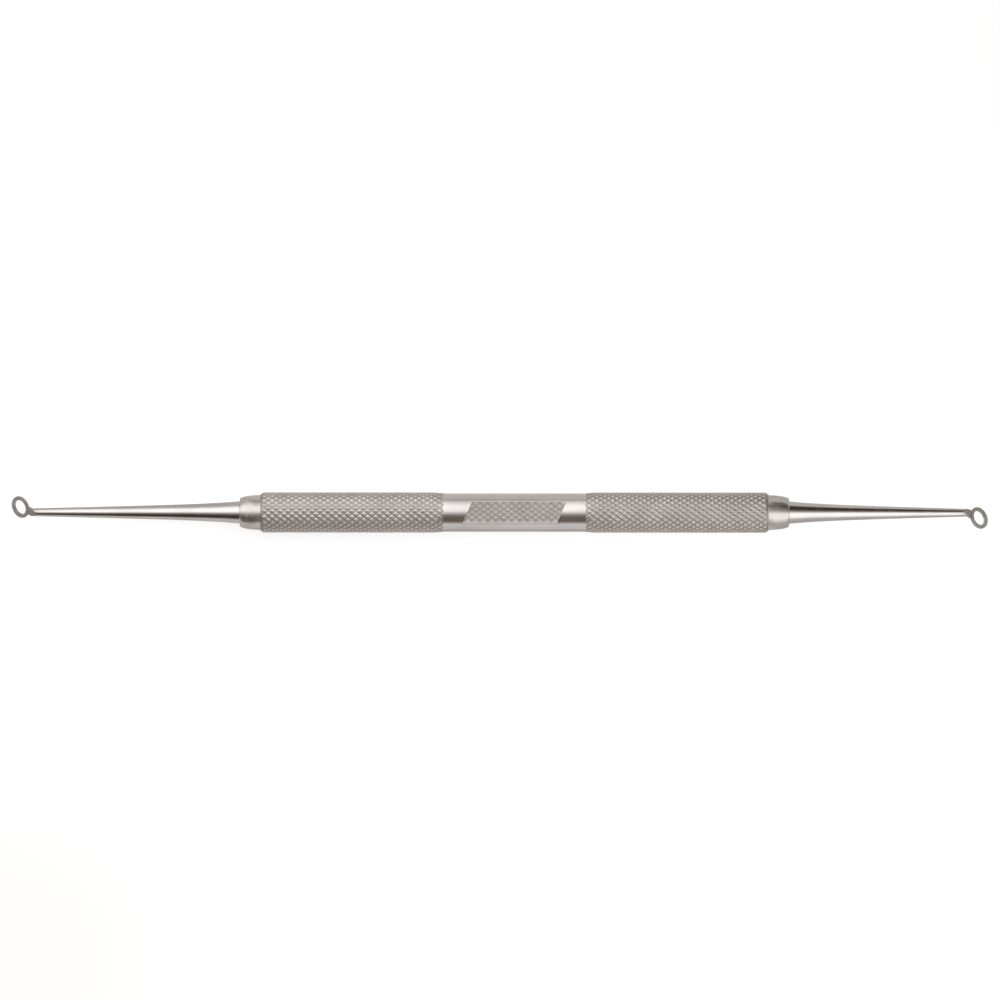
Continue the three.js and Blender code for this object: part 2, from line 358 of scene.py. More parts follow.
# %% Finishes: turned steel
DULL_TIP = (50.0, 70.0)
ROD_PATCHES = 0.22
COARSE_MARKS = 14.0
FINE_MARKS = 90.0
MARKS_STRENGTH = 0.5
BRIGHT_DULLER = (0.6, 0.58, 0.565, 1)
BRIGHT_CLEANER = (0.65, 0.635, 0.625, 1)


def turned_steel(name, duller, cleaner, smoothest, roughest, marks_depth, groove_dullness=0.0,
                 tip_dullness=0.0):
    finish, tree, shader, at = new_finish(name)
    tone = place_group(tree, handled, Point=at["Point"], Duller=duller, Cleaner=cleaner,
                       Patches=ROD_PATCHES, Smoothest=smoothest, Roughest=roughest)
    feed(tree, shader.inputs["Base Color"], tone["Color"])
    from_middle = maths(tree, "ABSOLUTE", at["Along"])
    at_tip = stretch(tree, from_middle, *DULL_TIP, 0.0, tip_dullness)
    marks = place_group(tree, turning, Along=at["Along"], Point=at["Point"], Marks=COARSE_MARKS)
    finest = place_group(tree, turning, Along=at["Along"], Point=at["Point"], Marks=FINE_MARKS)
    duller_by = maths(tree, "MULTIPLY_ADD", finest["Groove"], groove_dullness, at_tip)
    feed(tree, shader.inputs["Roughness"], maths(tree, "ADD", tone["Roughness"], duller_by))
    bump(tree, shader, marks["Height"], marks_depth, MARKS_STRENGTH)
    return finish


satin_steel = turned_steel(
    "satin_steel", (0.54, 0.513, 0.497, 1), (0.59, 0.566, 0.55, 1),
    smoothest=0.17, roughest=0.23, marks_depth=0.004)
ferrule_steel = turned_steel(
    "ferrule_steel", (0.58, 0.55, 0.53, 1), (0.63, 0.605, 0.585, 1),
    smoothest=0.13, roughest=0.18, marks_depth=0.003, groove_dullness=0.5)
bright_steel = turned_steel(
    "bright_steel", BRIGHT_DULLER, BRIGHT_CLEANER,
    smoothest=0.1, roughest=0.16, marks_depth=0.0015, tip_dullness=0.1)
print("finishes:", satin_steel.name, ferrule_steel.name, bright_steel.name)

# %% [markdown]
# ### Ground steel, for the rings, and the braze
# The rings are hardened and ground, which leaves them darker than the polished shanks. The round
# end of the rod was polished together with the shank, so the finish changes at the line where the
# rod meets the flat of the ring: a point is on the rod if it lies within the rod's radius and is not
# in the ring's outer face. Beside that line the heat of brazing left a faint olive tint. One end of
# the tool is the other one turned half round, so folded coordinates serve both.

# %% Where the rings lie
RING_BEND = math.radians(39.5)
RING_ROLL = math.radians(23)
RING_TURN = math.pi - RING_ROLL
INTO_BEND = (-math.sin(RING_BEND), -math.cos(RING_BEND) * math.sin(RING_TURN),
             math.cos(RING_BEND) * math.cos(RING_TURN))
NECK_HALF_WIDTH = 0.6
NECK_THICKNESS = 0.32
NECK_RUN = 0.62
PEG_LENGTH = 1.6

right_ring_low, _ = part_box("right_ring_cutter")
BEND_FROM_MIDDLE = right_ring_low.x / MM + NECK_RUN + PEG_LENGTH - FIT_GAP
print("bend", round(BEND_FROM_MIDDLE, 2), "mm from the middle")


# %% Finishes: ground steel and braze
FACE_EDGE = (0.01, 0.07)
ROD_EDGE = (0.08, 0.02)
HEAT_REACH = 0.5
HEAT_SHARE = 0.4
HEAT_TINT = (0.5, 0.46, 0.36, 1)
GROUND_GRAIN = 12.0
BRAZE_GRAIN = 8.0
BRAZE_GRAIN_DETAIL = 5.0


def into_bend(tree, at):
    """How far a point lies from the middle plane of its ring, to the inside of the bend, in mm."""
    folded = tree.nodes.new("ShaderNodeCombineXYZ")
    from_middle = maths(tree, "ABSOLUTE", at["Along"])
    feed(tree, folded.inputs["X"], maths(tree, "SUBTRACT", from_middle, BEND_FROM_MIDDLE))
    own_end = maths(tree, "SIGN", at["Along"])
    feed(tree, folded.inputs["Y"], maths(tree, "MULTIPLY", at["Across"], own_end))
    feed(tree, folded.inputs["Z"], at["Level"])
    height = tree.nodes.new("ShaderNodeVectorMath")
    height.operation = "DOT_PRODUCT"
    feed(tree, height.inputs[0], folded.outputs[0])
    height.inputs[1].default_value = INTO_BEND
    return height.outputs["Value"]


def ground_steel():
    finish, tree, shader, at = new_finish("ground_steel")
    ground = place_group(tree, handled, Point=at["Point"], Duller=(0.37, 0.345, 0.32, 1),
                         Cleaner=(0.47, 0.443, 0.415, 1), Patches=0.9, Smoothest=0.3, Roughest=0.42)
    rod = place_group(tree, handled, Point=at["Point"], Duller=BRIGHT_DULLER,
                      Cleaner=BRIGHT_CLEANER, Patches=ROD_PATCHES, Smoothest=0.2, Roughest=0.26)
    height = into_bend(tree, at)
    off_face = stretch(tree, height, *(edge - NECK_THICKNESS / 2 for edge in FACE_EDGE))
    in_rod = stretch(tree, at["Radius"], *(NECK_HALF_WIDTH + edge for edge in ROD_EDGE))
    on_rod = maths(tree, "MULTIPLY", off_face, in_rod)
    by_face = maths(tree, "MULTIPLY", on_rod, stretch(tree, height, HEAT_REACH, 0.0))
    steel = blend_colours(tree, on_rod, ground["Color"], rod["Color"])
    heated = blend_colours(tree, maths(tree, "MULTIPLY", by_face, HEAT_SHARE), steel, HEAT_TINT)
    feed(tree, shader.inputs["Base Color"], heated)
    duller = maths(tree, "MULTIPLY", ground["Roughness"], maths(tree, "SUBTRACT", 1.0, on_rod))
    feed(tree, shader.inputs["Roughness"],
         maths(tree, "MULTIPLY_ADD", rod["Roughness"], on_rod, duller))
    bump(tree, shader, cloud(tree, at["Point"], GROUND_GRAIN, GRAIN_DETAIL), depth_mm=0.01, strength=0.3)
    return finish


def brazed_joint():
    finish, tree, shader, at = new_finish("braze")
    tone = place_group(tree, handled, Point=at["Point"], Duller=(0.55, 0.525, 0.47, 1),
                       Cleaner=(0.61, 0.59, 0.54, 1), Patches=2.5, Smoothest=0.2, Roughest=0.28)
    feed(tree, shader.inputs["Base Color"], tone["Color"])
    feed(tree, shader.inputs["Roughness"], tone["Roughness"])
    grain = cloud(tree, at["Point"], BRAZE_GRAIN, BRAZE_GRAIN_DETAIL)
    bump(tree, shader, grain, depth_mm=0.01, strength=0.3)
    return finish


ring_steel = ground_steel()
braze_metal = brazed_joint()
print("finishes:", ring_steel.name, braze_metal.name)

# %% [markdown]
# ## Turning a mesh into a piece
# A finished mesh is shrunk to metres, gets its finishes and smooth shading, rides on the frame and
# takes the place of the plain solid of the same node, which is hidden. Edges sharper than a chosen angle
# stay crisp.

# %% Piece helper
def new_piece(name, mesh, finishes, node, crisp_angle=None):
    mesh.transform(Matrix.Scale(MM, 4))
    for finish in finishes:
        mesh.materials.append(finish)
    mesh.shade_smooth()
    if crisp_angle is not None:
        mesh.set_sharp_from_angle(angle=math.radians(crisp_angle))
    mesh.name = name
    made = bpy.data.objects.new(name, mesh)
    bpy.context.scene.collection.objects.link(made)
    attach(made, "root")
    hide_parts(node)
    print(name, "has", len(mesh.polygons), "faces")
    return made


# %% [markdown]
# ## The knurled handle
# A knurl is cut by two rollers whose teeth run in opposite spirals. Where the two sets of grooves
# cross, diamonds are left standing. So the surface is a height over a wrapped sheet: one spiral
# count goes up along the handle, the other goes down, and a point's height is its distance to the
# nearest groove of either set. A grid of points round the handle, lifted by that height, gives
# real diamonds that also show in the outline. Each diamond's top is worn by a slightly different,
# seeded amount.

# %% Diamonds as a height
KNURL_STARTS = 20
KNURL_PITCH = 1.22
TOP_SHARE = 0.7
TOP_SOFTNESS = 6.0
WORN_BY = 0.1
GROOVES_KEPT = 64
worn_tops = np.random.default_rng(7).uniform(0, WORN_BY, (GROOVES_KEPT, GROOVES_KEPT))


def diamonds(rising, falling):
    """0 in a groove and about 1 on top of a diamond, from the two spiral counts."""
    to_rising = 1 - np.abs(2 * (rising % 1) - 1)
    to_falling = 1 - np.abs(2 * (falling % 1) - 1)
    slope = np.minimum(to_rising, to_falling) / TOP_SHARE
    rounded = slope / (1 + slope ** TOP_SOFTNESS) ** (1 / TOP_SOFTNESS)
    first = np.floor(rising).astype(int) % GROOVES_KEPT
    second = np.floor(falling).astype(int) % GROOVES_KEPT
    return rounded * (1 - worn_tops[first, second])


print("a diamond is", KNURL_PITCH, "mm long,", KNURL_STARTS, "of them go round")

# %% [markdown]
# ### Grips
# A grip is chamfered at its outer end, so a cone limits the diamonds there. At the waist the
# rollers were backed off, so the diamonds get lower over the last one and a half millimetres until
# they meet the plain surface. The grooves keep their depth almost to the end, and the wheel that
# polished the waist also reached the lowest diamonds.

# %% Radius of the grips
DIAMONDS_ALONG_GRIP = 23
GRIP_LENGTH = DIAMONDS_ALONG_GRIP * KNURL_PITCH
KNURL_SHIFT = 0.25
GRIP_END_RADIUS = 2.8
CHAMFER_LENGTH = 0.5
CREST_RUN_OUT = 1.6
GROOVE_RUN_OUT = 0.25
POLISHED_RUN_OUT = 0.65
WAIST_RADIUS = 2.95


def grip_radius(x, angle, start, outer_end):
    along = (x - start) / KNURL_PITCH
    around = angle * KNURL_STARTS / (2 * math.pi) - KNURL_SHIFT
    height = diamonds(along + around, along - around)
    radius = GROOVE_RADIUS + (CREST_RADIUS - GROOVE_RADIUS) * height
    from_outer = np.abs(x - outer_end)
    from_waist = GRIP_LENGTH - from_outer
    chamfer = GRIP_END_RADIUS + (CREST_RADIUS - GRIP_END_RADIUS) * from_outer / CHAMFER_LENGTH
    highest = WAIST_RADIUS + (CREST_RADIUS - WAIST_RADIUS) * from_waist / CREST_RUN_OUT
    lowest = WAIST_RADIUS + (GROOVE_RADIUS - WAIST_RADIUS) * np.minimum(from_waist / GROOVE_RUN_OUT, 1)
    return np.minimum(np.clip(radius, lowest, highest), chamfer)


LEFT_GRIP_END = HANDLE_LEFT + GRIP_LENGTH
RIGHT_GRIP_START = HANDLE_RIGHT - GRIP_LENGTH
print("waist from", round(LEFT_GRIP_END, 2), "to", round(RIGHT_GRIP_START, 2), "mm")

# %% [markdown]
# ### Waist and flat
# The waist is a plain cylinder with a flat milled across its top. The flat's ends slant, so the
# rows of the grid slant with them there, and the edges stay clean without any cutting. The flat
# carries the same diamonds as the grips, only shallow. Two rows of points lie close together at
# each of its ends, so that the wall there stands upright.

# %% Radius of the waist
FLAT_LENGTH = 14.5
FLAT_HALF_WIDTH = 1.6
FLAT_SLANT = 0.45
FLAT_END_RAMP = 0.02
HATCH_ACROSS = 0.95
HATCH_MARGIN = 0.06
FLAT_HALF_ANGLE = math.asin(FLAT_HALF_WIDTH / WAIST_RADIUS)


def ease(value):
    """A soft step from 0 to 1."""
    share = np.clip(value, 0, 1)
    return share * share * (3 - 2 * share)


def waist_radius(station, x, angle):
    from_end = FLAT_LENGTH / 2 - np.abs(station - HANDLE_CENTRE)
    across = WAIST_RADIUS * np.sin(angle)
    on_flat = (np.abs(angle) <= FLAT_HALF_ANGLE + HAIR) * ease(from_end / FLAT_END_RAMP)
    margin = np.minimum(from_end, FLAT_HALF_WIDTH - np.abs(across)) / HATCH_MARGIN
    cut = diamonds(x / KNURL_PITCH + across / HATCH_ACROSS, x / KNURL_PITCH - across / HATCH_ACROSS)
    level = FLAT_LEVEL - HATCH_DEPTH * (1 - cut) * ease(margin)
    flat_radius = level / np.cos(np.minimum(np.abs(angle), FLAT_HALF_ANGLE))
    return WAIST_RADIUS + (flat_radius - WAIST_RADIUS) * on_flat


print("flat at level", round(FLAT_LEVEL, 3), "mm, half angle", round(math.degrees(FLAT_HALF_ANGLE), 1))

# %% [markdown]
# ### One skin for the whole handle
# All stations along the handle share the same columns round it, so the grips, the waist, the end
# faces and the bore join into one closed skin. Each cell is split along its lower diagonal, which
# is the one that follows a groove.

# %% Grid of the handle
STEPS_PER_DIAMOND = 8
COLUMNS = KNURL_STARTS * STEPS_PER_DIAMOND
STEP = KNURL_PITCH / STEPS_PER_DIAMOND
FLAT_COLUMNS = round(FLAT_HALF_ANGLE * COLUMNS / (2 * math.pi))
BORE_RADIUS = 2.03
FINE_ROWS_PAST_FLAT = 0.6
HATCH_REACH = FLAT_LENGTH / 2 + FINE_ROWS_PAST_FLAT
WAIST_STEPS = 8

grip_steps = round(GRIP_LENGTH / STEP)
hatch_steps = round(2 * HATCH_REACH / STEP)
left_stations = np.linspace(HANDLE_LEFT, LEFT_GRIP_END, grip_steps + 1)
flat_walls = [HANDLE_CENTRE + way * (FLAT_LENGTH / 2 - inward)
              for way in (-1, 1) for inward in (0, FLAT_END_RAMP)]
waist_stations = np.sort(np.concatenate([
    np.linspace(LEFT_GRIP_END, HANDLE_CENTRE - HATCH_REACH, WAIST_STEPS + 1)[1:-1],
    np.linspace(HANDLE_CENTRE - HATCH_REACH, HANDLE_CENTRE + HATCH_REACH, hatch_steps + 1),
    np.linspace(HANDLE_CENTRE + HATCH_REACH, RIGHT_GRIP_START, WAIST_STEPS + 1)[1:-1],
    flat_walls,
]))
right_stations = np.linspace(RIGHT_GRIP_START, HANDLE_RIGHT, grip_steps + 1)
print(COLUMNS, "columns,", 2 * grip_steps + len(waist_stations), "rows")


# %% Points of the handle
def handle_points():
    """Stations by columns: x, angle from straight up, and radius, waist and grips in order."""
    even = np.arange(COLUMNS) * 2 * math.pi / COLUMNS
    angle = np.where(even > math.pi, even - 2 * math.pi, even)
    flat_edge = FLAT_COLUMNS * 2 * math.pi / COLUMNS
    inside = angle * FLAT_HALF_ANGLE / flat_edge
    outside = np.sign(angle) * (math.pi - (math.pi - np.abs(angle))
                                * (math.pi - FLAT_HALF_ANGLE) / (math.pi - flat_edge))
    fitted = np.where(np.abs(angle) <= flat_edge + HAIR, inside, outside)

    bands = []
    for stations, start, outer_end in ((left_stations, HANDLE_LEFT, HANDLE_LEFT),
                                       (right_stations, RIGHT_GRIP_START, HANDLE_RIGHT)):
        x, around = np.meshgrid(stations, angle, indexing="ij")
        bands.append((x, around, grip_radius(x, around, start, outer_end)))

    station, around = np.meshgrid(waist_stations, fitted, indexing="ij")
    room = (RIGHT_GRIP_START - LEFT_GRIP_END) / 2 - HATCH_REACH
    slanted = ease(1 - (np.abs(station - HANDLE_CENTRE) - HATCH_REACH) / room)
    sideways = np.clip(WAIST_RADIUS * np.sin(around), -FLAT_HALF_WIDTH, FLAT_HALF_WIDTH)
    x = station + FLAT_SLANT * sideways * slanted
    bands.insert(1, (x, around, waist_radius(station, x, around)))

    for end in (HANDLE_RIGHT, HANDLE_LEFT):
        x, around = np.meshgrid([end], angle, indexing="ij")
        bands.append((x, around, np.full_like(x, BORE_RADIUS)))
    return [np.vstack(parts) for parts in zip(*bands)]


x, angle, radius = handle_points()
print("crest", round(radius.max(), 3), "groove", round(radius[: grip_steps].min(), 3))


# %% Skin of the handle
def handle_mesh():
    rows = len(x)
    points = np.stack([x, radius * np.sin(angle), radius * np.cos(angle)], axis=-1).reshape(-1, 3)
    row, column = np.meshgrid(np.arange(rows), np.arange(COLUMNS), indexing="ij")
    next_row = (row + 1) % rows
    next_column = (column + 1) % COLUMNS
    near = row * COLUMNS + column
    near_on = row * COLUMNS + next_column
    far = next_row * COLUMNS + column
    far_on = next_row * COLUMNS + next_column
    lower = radius + radius[next_row, next_column] < radius[next_row, column] + radius[row, next_column]
    lower = lower[..., None]
    first = np.where(lower, np.stack([near, far, far_on], -1), np.stack([near, far, near_on], -1))
    second = np.where(lower, np.stack([near, far_on, near_on], -1),
                      np.stack([far, far_on, near_on], -1))
    faces = np.concatenate([first.reshape(-1, 3), second.reshape(-1, 3)])

    mesh = bpy.data.meshes.new("handle")
    mesh.from_pydata(points.tolist(), [], faces.tolist())
    return mesh, row.ravel(), column.ravel()


def polished_cells():
    """Cells of the grips that lie in the cone where the crests run out, close to the waist."""
    from_waist = np.minimum(np.abs(x - LEFT_GRIP_END), np.abs(x - RIGHT_GRIP_START))
    run_out = WAIST_RADIUS + (CREST_RADIUS - WAIST_RADIUS) * from_waist / CREST_RUN_OUT
    corner = (radius > run_out - HAIR) & (from_waist < POLISHED_RUN_OUT)
    pair = corner & np.roll(corner, -1, axis=1)
    return (pair & np.roll(pair, -1, axis=0)).ravel()


handle, face_row, face_column = handle_mesh()
GRIP, WAIST, FLAT, WALL = range(4)
waist_from = len(left_stations) - 1
waist_to = waist_from + len(waist_stations) + 1
grips_to = waist_to + grip_steps
on_waist = ((face_row >= waist_from) & (face_row < waist_to)) | (face_row >= grips_to)
from_top = np.minimum(face_column + 0.5, COLUMNS - face_column - 0.5)
stations = np.concatenate([left_stations, waist_stations, right_stations, [HANDLE_RIGHT, HANDLE_LEFT]])
row_middles = (stations + np.roll(stations, -1)) / 2
inside_flat = FLAT_LENGTH / 2 - np.abs(row_middles[face_row] - HANDLE_CENTRE)
in_cut = on_waist & (from_top < FLAT_COLUMNS) & (inside_flat > 0) & (face_row < waist_to)
in_floor = in_cut & (inside_flat > FLAT_END_RAMP)
polished = on_waist | polished_cells()
finish_of_face = np.select([in_floor, in_cut, polished], [FLAT, WALL, WAIST], GRIP).astype(np.int32)
handle.polygons.foreach_set("material_index", np.tile(finish_of_face, 2))
handle_finishes = [grip_steel, satin_steel, hatch_steel, satin_steel]
knurled_handle = new_piece("knurled_handle", handle, handle_finishes, "handle_barrel")


# %% Crisp edges where two finishes meet
def split_finishes(mesh):
    """Marks every edge between two finishes as sharp."""
    edge_of_corner = np.empty(len(mesh.loops), dtype=np.int32)
    mesh.loops.foreach_get("edge_index", edge_of_corner)
    finish_of_face = np.empty(len(mesh.polygons), dtype=np.int32)
    mesh.polygons.foreach_get("material_index", finish_of_face)
    finish_of_corner = np.repeat(finish_of_face, 3)
    lowest = np.full(len(mesh.edges), WALL)
    highest = np.full(len(mesh.edges), GRIP)
    np.minimum.at(lowest, edge_of_corner, finish_of_corner)
    np.maximum.at(highest, edge_of_corner, finish_of_corner)
    mesh.edges.foreach_set("use_edge_sharp", lowest != highest)
    return int((lowest != highest).sum())


print(split_finishes(knurled_handle.data), "sharp edges")

# %% [markdown]
# ## Turned pieces
# A lathe turns an outline about an axis, and Blender's Screw modifier does the same with a chain of
# edges. The Bevel modifier then breaks the sharp corners by a few hundredths of a millimetre, which
# is what makes an edge catch the light.

# %% Lathe helper
MERGE_WITHIN = 1e-5
LATHE_MERGE_WITHIN = 1e-4
EDGE_BREAK_SEGMENTS = 3
EDGE_BREAK_FROM = math.radians(28)


def applied(mesh, add_modifiers):
    """The mesh that is left when the given modifiers have been applied."""
    holder = bpy.data.objects.new("workpiece", mesh)
    bpy.context.scene.collection.objects.link(holder)
    add_modifiers(holder)
    graph = bpy.context.evaluated_depsgraph_get()
    result = bpy.data.meshes.new_from_object(holder.evaluated_get(graph))
    bpy.data.objects.remove(holder)
    return result


def outward(mesh):
    """Merges doubled points and turns all faces outward."""
    work = bmesh.new()
    work.from_mesh(mesh)
    bmesh.ops.remove_doubles(work, verts=work.verts, dist=MERGE_WITHIN)
    bmesh.ops.recalc_face_normals(work, faces=work.faces)
    work.to_mesh(mesh)
    work.free()
    return mesh


def turned(outline, steps, edge_break=0.0, closed=False):
    """Turns an outline of (x, radius) pairs about the X axis."""
    chain = bpy.data.meshes.new("outline")
    links = [(i, i + 1) for i in range(len(outline) - 1)]
    if closed:
        links.append((len(outline) - 1, 0))
    chain.from_pydata([(along, 0, out) for along, out in outline], links, [])

    def lathe(holder):
        screw = holder.modifiers.new("lathe", "SCREW")
        screw.axis = "X"
        screw.steps = steps
        screw.render_steps = steps
        screw.use_merge_vertices = True
        screw.merge_threshold = LATHE_MERGE_WITHIN

    def break_edges(holder):
        bevel = holder.modifiers.new("edges", "BEVEL")
        bevel.width = edge_break
        bevel.segments = EDGE_BREAK_SEGMENTS
        bevel.limit_method = "ANGLE"
        bevel.angle_limit = EDGE_BREAK_FROM

    mesh = outward(applied(chain, lathe))
    return outward(applied(mesh, break_edges)) if edge_break else mesh


def curve_points(start, control, end, count):
    """Points of a curve with one control point, both ends included."""
    start, control, end = (np.array(point) for point in (start, control, end))
    return [tuple((1 - s) ** 2 * start + 2 * s * (1 - s) * control + s ** 2 * end)
            for s in np.linspace(0, 1, count)]


print("lathe ready")

# %% [markdown]
# ### Ferrules
# A ferrule is a short domed collar. Its spigot fills the end of the handle's bore, and its face has
# a hole for the shank's tang. The dome is one smooth curve from the handle to the face, and its rim
# runs a little under the handle's edge, so that no gap shows.

# %% Ferrules
FERRULE_LENGTH = 3.2
FERRULE_BASE_RADIUS = 2.7
FERRULE_CROWN = (2.6, 2.62)
FERRULE_FACE_RADIUS = 2.15
SPIGOT_LENGTH = 8.0
SPIGOT_CHAMFER = 0.25
RIM_UNDER_HANDLE = 0.12
TANG_RADIUS = 1.1
FERRULE_STEPS = 128
FERRULE_EDGE_BREAK = 0.07
DOME_POINTS = 20
TURNED_CRISP_ANGLE = 30


def ferrule_mesh():
    dome = curve_points((0, FERRULE_BASE_RADIUS), FERRULE_CROWN,
                        (FERRULE_LENGTH, FERRULE_FACE_RADIUS), DOME_POINTS)
    spigot = BORE_RADIUS - FIT_GAP
    hole = TANG_RADIUS + FIT_GAP
    outline = [
        (-SPIGOT_LENGTH, hole), (-SPIGOT_LENGTH, spigot - SPIGOT_CHAMFER),
        (-SPIGOT_LENGTH + SPIGOT_CHAMFER, spigot), (-RIM_UNDER_HANDLE, spigot),
        (-RIM_UNDER_HANDLE, FERRULE_BASE_RADIUS), *dome, (FERRULE_LENGTH, hole),
    ]
    return turned(outline, FERRULE_STEPS, FERRULE_EDGE_BREAK, closed=True)


for side in SIDES:
    mesh = ferrule_mesh()
    mesh.transform(end_matrix(side))
    new_piece(side + "_ferrule_shell", mesh, [ferrule_steel], side + "_ferrule",
              TURNED_CRISP_ANGLE)

# %% [markdown]
# ### Shanks
# A shank is a long cone with a flare that dies away from the ferrule, as a formula: a straight
# taper plus an exponential. Its tang sits in the ferrule and its tip is drilled for the ring's peg.

# %% Shanks
TANG_LENGTH = 10.5
TANG_CHAMFER = 0.2
CONE_ROOT_RADIUS = 1.38
CONE_TIP_RADIUS = 0.62
FLARE_HEIGHT = 0.35
FLARE_DECAY = 4.9
PEG_RADIUS = 0.32
BRAZE_LENGTH = 0.18
SHANK_ROWS = 60
ROWS_CLOSER_AT_ROOT = 1.4
SHANK_STEPS = 96
SHANK_EDGE_BREAK = 0.03

TIP_BEFORE_BEND = NECK_RUN + BRAZE_LENGTH + 2 * FIT_GAP


def shank_mesh(side):
    shoulder = FERRULE_LENGTH
    tip = BEND_FROM_MIDDLE - abs(handle_end[side]) - TIP_BEFORE_BEND
    length = tip - shoulder
    tang_end = shoulder - TANG_LENGTH
    taper = []
    for row in range(SHANK_ROWS + 1):
        along = length * (row / SHANK_ROWS) ** ROWS_CLOSER_AT_ROOT
        cone = CONE_ROOT_RADIUS + (CONE_TIP_RADIUS - CONE_ROOT_RADIUS) * along / length
        taper.append((shoulder + along, cone + FLARE_HEIGHT * math.exp(-along / FLARE_DECAY)))
    hole = PEG_RADIUS + FIT_GAP
    outline = [
        (tang_end, 0), (tang_end, TANG_RADIUS - TANG_CHAMFER), (tang_end + TANG_CHAMFER, TANG_RADIUS),
        (shoulder, TANG_RADIUS), *taper, (tip, hole), (tip - PEG_LENGTH, hole), (tip - PEG_LENGTH, 0),
    ]
    return turned(outline, SHANK_STEPS, SHANK_EDGE_BREAK)


for side in SIDES:
    mesh = shank_mesh(side)
    mesh.transform(end_matrix(side))
    new_piece(side + "_tapered_shank", mesh, [bright_steel], side + "_shank",
              TURNED_CRISP_ANGLE)

# %% [markdown]
# ## Cutting rings
# A ring cutter is ring, neck and peg in one piece. The ring is a turned band with a bevel that
# ends in the cutting edge. Its neck is a flat strip in the same plane, and the round end of the rod
# stands on that strip at the angle of the bend. Both stretches of the neck are convex, so a hull
# round a few points gives each of them. Drawn separately, the four would meet in hard creases, so
# they are put into one mesh, and the Remesh modifier casts them anew as one skin. A little smoothing
# then leaves the soft fillets of a filed piece.

# %% Ring band
RING_RADIUS = 1.72
RING_HOLE_RADIUS = 1.15
RING_THICKNESS = 0.4
RING_ROUNDING = 0.05
RING_BEVEL_FOOT = 0.1
RING_EDGE_LAND = 0.06
RING_REACH = 2.34
RING_ASIDE = 0.25
RING_STEPS = 120


def in_ring_plane(mesh, reach, aside):
    """Lays a piece turned about X into the ring's plane, so far out from the bend and to its side."""
    stand_up = Matrix.Rotation(-math.pi / 2, 4, "Y")
    lean = Matrix.Rotation(-RING_BEND, 4, "Y") @ Matrix.Translation((reach, aside, 0))
    mesh.transform(lean @ stand_up)
    return mesh


def ring_band():
    half = RING_THICKNESS / 2
    section = [
        (-half, RING_HOLE_RADIUS), (-half, RING_RADIUS - RING_ROUNDING),
        (-half + RING_ROUNDING, RING_RADIUS), (RING_BEVEL_FOOT, RING_RADIUS),
        (half, RING_HOLE_RADIUS + RING_EDGE_LAND), (half, RING_HOLE_RADIUS),
    ]
    return in_ring_plane(turned(section, RING_STEPS, closed=True), RING_REACH, RING_ASIDE)


print("ring", 2 * RING_RADIUS, "mm across, hole", 2 * RING_HOLE_RADIUS, "mm")

# %% Ring neck and peg
NECK_START_REACH = 0.1
NECK_MARGIN = 0.1
NECK_FOOT_HALF_WIDTH = 0.48
NECK_SIDES = 48


def hull_of(points):
    """The tightest skin round some points."""
    work = bmesh.new()
    for point in points:
        work.verts.new(point)
    hull = bmesh.ops.convex_hull(work, input=work.verts, use_existing_faces=False)
    inside = [item for item in hull["geom_interior"] if isinstance(item, bmesh.types.BMVert)]
    bmesh.ops.delete(work, geom=inside, context="VERTS")
    mesh = bpy.data.meshes.new("hull")
    work.to_mesh(mesh)
    work.free()
    return outward(mesh)


def disc(start, end, radius):
    return turned([(start, 0), (start, radius), (end, radius), (end, 0)], NECK_SIDES)


def flat_neck():
    """A strip in the ring's plane that narrows from the rod's end to its foot in the ring's wall."""
    half = NECK_THICKNESS / 2
    foot_reach = RING_REACH - RING_HOLE_RADIUS - NECK_MARGIN - NECK_FOOT_HALF_WIDTH
    ends = [in_ring_plane(disc(-half, half, half_width), reach, aside)
            for half_width, reach, aside in ((NECK_HALF_WIDTH, NECK_START_REACH, 0),
                                             (NECK_FOOT_HALF_WIDTH, foot_reach, RING_ASIDE))]
    return hull_of([vertex.co for end in ends for vertex in end.vertices])


def round_neck():
    """The rod's end, from the joint to a slanting cut that is flush with the flat neck."""
    cut_depth = NECK_THICKNESS / 2
    points = []
    for turn in np.linspace(0, 2 * math.pi, NECK_SIDES, endpoint=False):
        across = NECK_HALF_WIDTH * math.cos(turn)
        up = NECK_HALF_WIDTH * math.sin(turn)
        cut = (cut_depth + up * math.cos(RING_BEND)) / math.sin(RING_BEND)
        points += [(-NECK_RUN, across, up), (cut, across, up)]
    return hull_of(points)


def ring_peg():
    return disc(-NECK_RUN - PEG_LENGTH + FIT_GAP, -NECK_RUN + PEG_RADIUS / 2, PEG_RADIUS)


print("neck and peg ready")

# %% Ring cutters
CAST_VOXEL = 0.025
FILED_SHARE = 0.5
FILED_PASSES = 3


def together(*meshes):
    """Several meshes in one."""
    work = bmesh.new()
    for mesh in meshes:
        work.from_mesh(mesh)
    joined = bpy.data.meshes.new("joined")
    work.to_mesh(joined)
    work.free()
    return joined


def cast_and_file(holder):
    remesh = holder.modifiers.new("cast", "REMESH")
    remesh.mode = "VOXEL"
    remesh.voxel_size = CAST_VOXEL
    smooth = holder.modifiers.new("file", "SMOOTH")
    smooth.factor = FILED_SHARE
    smooth.iterations = FILED_PASSES


def head_matrix(side):
    bend = BEND_FROM_MIDDLE - abs(handle_end[side])
    return end_matrix(side) @ Matrix.Translation((bend, 0, 0)) @ Matrix.Rotation(RING_TURN, 4, "X")


for side in SIDES:
    mesh = applied(together(ring_band(), flat_neck(), round_neck(), ring_peg()), cast_and_file)
    mesh.transform(head_matrix(side))
    new_piece(side + "_cutting_ring", mesh, [ring_steel], side + "_ring_cutter")

# %% [markdown]
# ## Braze collars
# The braze is a small bead that has flowed into the joint and fills it from the shank's tip to the
# neck. It starts as a turned bulge, and a slow noise moves its points in and out, because a bead is
# never quite even.

